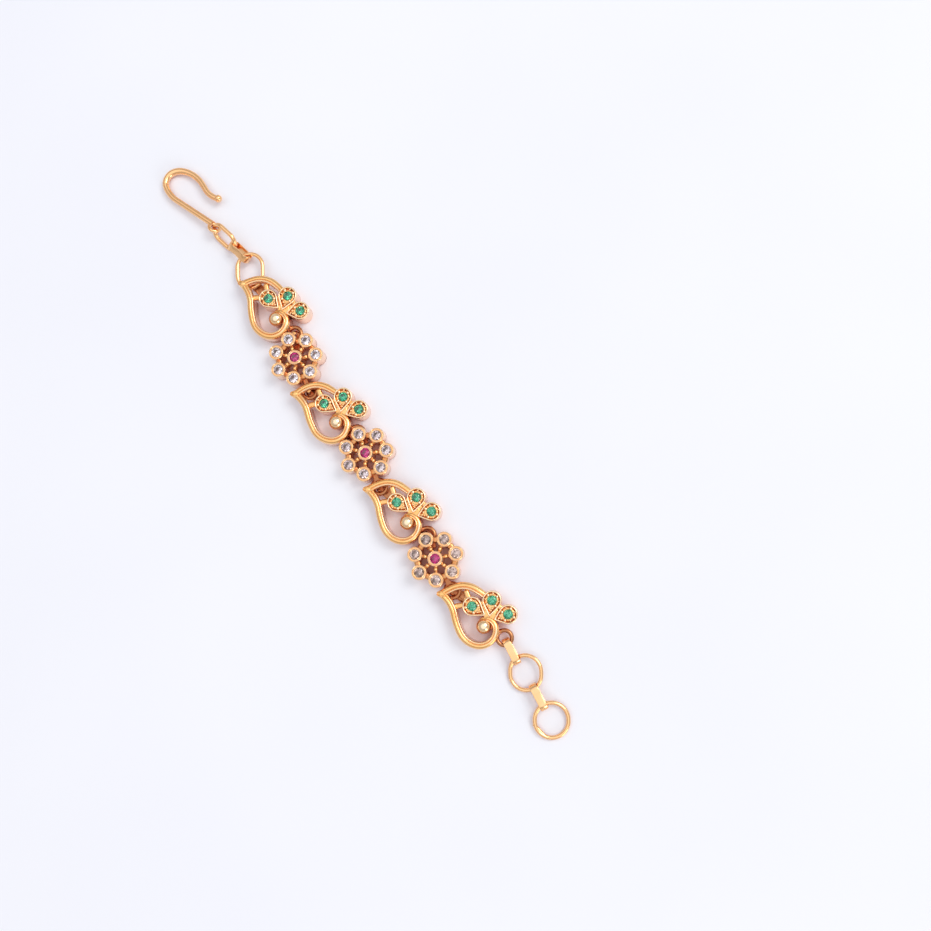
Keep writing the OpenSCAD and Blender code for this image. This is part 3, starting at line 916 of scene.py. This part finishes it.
ear_hook()
wire_ring("hook_ring_wire", "hook_ring", HOOK_RING, lean_along=True, seam=20)
wire_ring("neck_ring_wire", "neck_ring", NECK_RING, seam=36, swell=0.24, spread=20)
wire_ring("middle_ring_wire", "middle_ring", MIDDLE_RING, seam=30)
end_ring()
second = outward(paisleys[4], PAISLEY_LOOP)
dx, dy = turn((STRIP_2_REACH, 0), STRIP_2_HEADING)
second = (second[0] + dx, second[1] + dy, STRIP_H / 2 + 0.02)
strip("strip_1_sheet", "strip_1", STRIP_1)
strip("strip_2_sheet", "strip_2", (second, STRIP_2_HEADING, 0))
strip("strip_3_sheet", "strip_3", STRIP_3)


# Floor, light and camera, in metres

FLOOR_HALF = 3.0
# The photo's right and top, in the chain's frame
RIGHT = Vector((0.5739, 0.8189, 0))
TOP = Vector((-0.8189, 0.5739, 0))
# Lamps: name, place to the photo's right, top and up, size, power, colour, and whether metal mirrors it
LAMPS = [("key", 0.75, 0.45, 1.1, 0.65, 6.6, (1, 0.99, 0.97), True),
         ("fill", -0.8, 0.15, 1.0, 0.9, 1.2, (0.95, 0.94, 1), False),
         ("low", 0.8, -0.9, 0.45, 0.5, 3.0, (1, 0.97, 0.94), True)]
SKY_STRENGTH = 0.79
VIEW_ANGLE = 51.96
EYE = Vector((36.238, 13.447, 180)) * MM
LOOK = Vector((-0.13129, 0.00319, -0.99134))
UP = Vector((-0.80945, 0.57697, 0.10906))


def floor():
    mesh = bpy.data.meshes.new("floor")
    s = FLOOR_HALF
    mesh.from_pydata([(-s, -s, 0), (s, -s, 0), (s, s, 0), (-s, s, 0)], [], [(0, 1, 2, 3)])
    obj = bpy.data.objects.new("floor", mesh)
    bpy.context.scene.collection.objects.link(obj)
    m, nodes, links, bsdf = node_tree("paper")
    where = nodes.new("ShaderNodeTexCoord").outputs["Object"]
    tone = ramp(nodes, [(0.3, (0.78, 0.81, 0.86)), (0.7, (0.81, 0.84, 0.88))])
    links.new(noise(nodes, links, where, 12, 2).outputs["Fac"], tone.inputs["Fac"])
    # Painted bounce light: ambient occlusion turns the floor pink near the gold and red-brown where it is
    # most enclosed.
    ao = nodes.new("ShaderNodeAmbientOcclusion")
    ao.samples = 8
    ao.inputs["Distance"].default_value = 5 * MM
    near = ramp(nodes, [(0.06, (1.2, 0.7, 0.54)), (0.22, (1.18, 1.06, 1.04)), (0.85, (1, 1, 1))])
    links.new(ao.outputs["AO"], near.inputs["Fac"])
    links.new(blend_colour(nodes, links, "MULTIPLY", 1.0, tone.outputs["Color"], near.outputs["Color"]),
              bsdf.inputs["Base Color"])
    bsdf.inputs["Roughness"].default_value = 0.9
    bsdf.inputs["Specular IOR Level"].default_value = 0.15
    mesh.materials.append(m)


def lamp(name, right, top, height, size, power, colour, mirrored):
    """A square soft light, placed in the photo's directions and aimed at the chain."""
    light = bpy.data.lights.new(name, "AREA")
    light.size, light.energy, light.color = size, power, colour
    obj = bpy.data.objects.new(name, light)
    obj.location = RIGHT * right + TOP * top + Vector((0, 0, height))
    obj.rotation_euler = (-obj.location).to_track_quat("-Z", "Y").to_euler()
    obj.visible_glossy = mirrored
    bpy.context.scene.collection.objects.link(obj)


def studio():
    for row in LAMPS:
        lamp(*row)
    world = bpy.data.worlds.new("studio")
    world.use_nodes = True
    bpy.context.scene.world = world
    nodes, links = world.node_tree.nodes, world.node_tree.links
    background = nodes["Background"]
    coord = nodes.new("ShaderNodeTexCoord")
    split = nodes.new("ShaderNodeSeparateXYZ")
    links.new(coord.outputs["Generated"], split.inputs["Vector"])
    sky = ramp(nodes, [(0.0, (0.78, 0.75, 0.82)), (0.25, (0.88, 0.84, 0.88)), (0.46, (0.86, 0.82, 0.84)),
                       (0.58, (0.5, 0.45, 0.45)), (0.68, (0.6, 0.56, 0.58)), (0.8, (1.3, 1.28, 1.32)),
                       (0.92, (1.52, 1.5, 1.57))])
    links.new(split.outputs["Z"], sky.inputs["Fac"])
    links.new(sky.outputs["Color"], background.inputs["Color"])
    background.inputs["Strength"].default_value = SKY_STRENGTH


def camera():
    data = bpy.data.cameras.new("camera")
    data.angle = math.radians(VIEW_ANGLE)
    data.clip_start, data.clip_end = 0.01, 20
    obj = bpy.data.objects.new("camera", data)
    look, up = LOOK.normalized(), UP.normalized()
    right = look.cross(up).normalized()
    up = right.cross(look)
    turned = Matrix((right, up, -look)).transposed().to_4x4()
    obj.matrix_world = Matrix.Translation(EYE) @ turned
    bpy.context.scene.collection.objects.link(obj)
    bpy.context.scene.camera = obj


floor()
studio()
camera()
bpy.context.scene.view_settings.view_transform = "Standard"
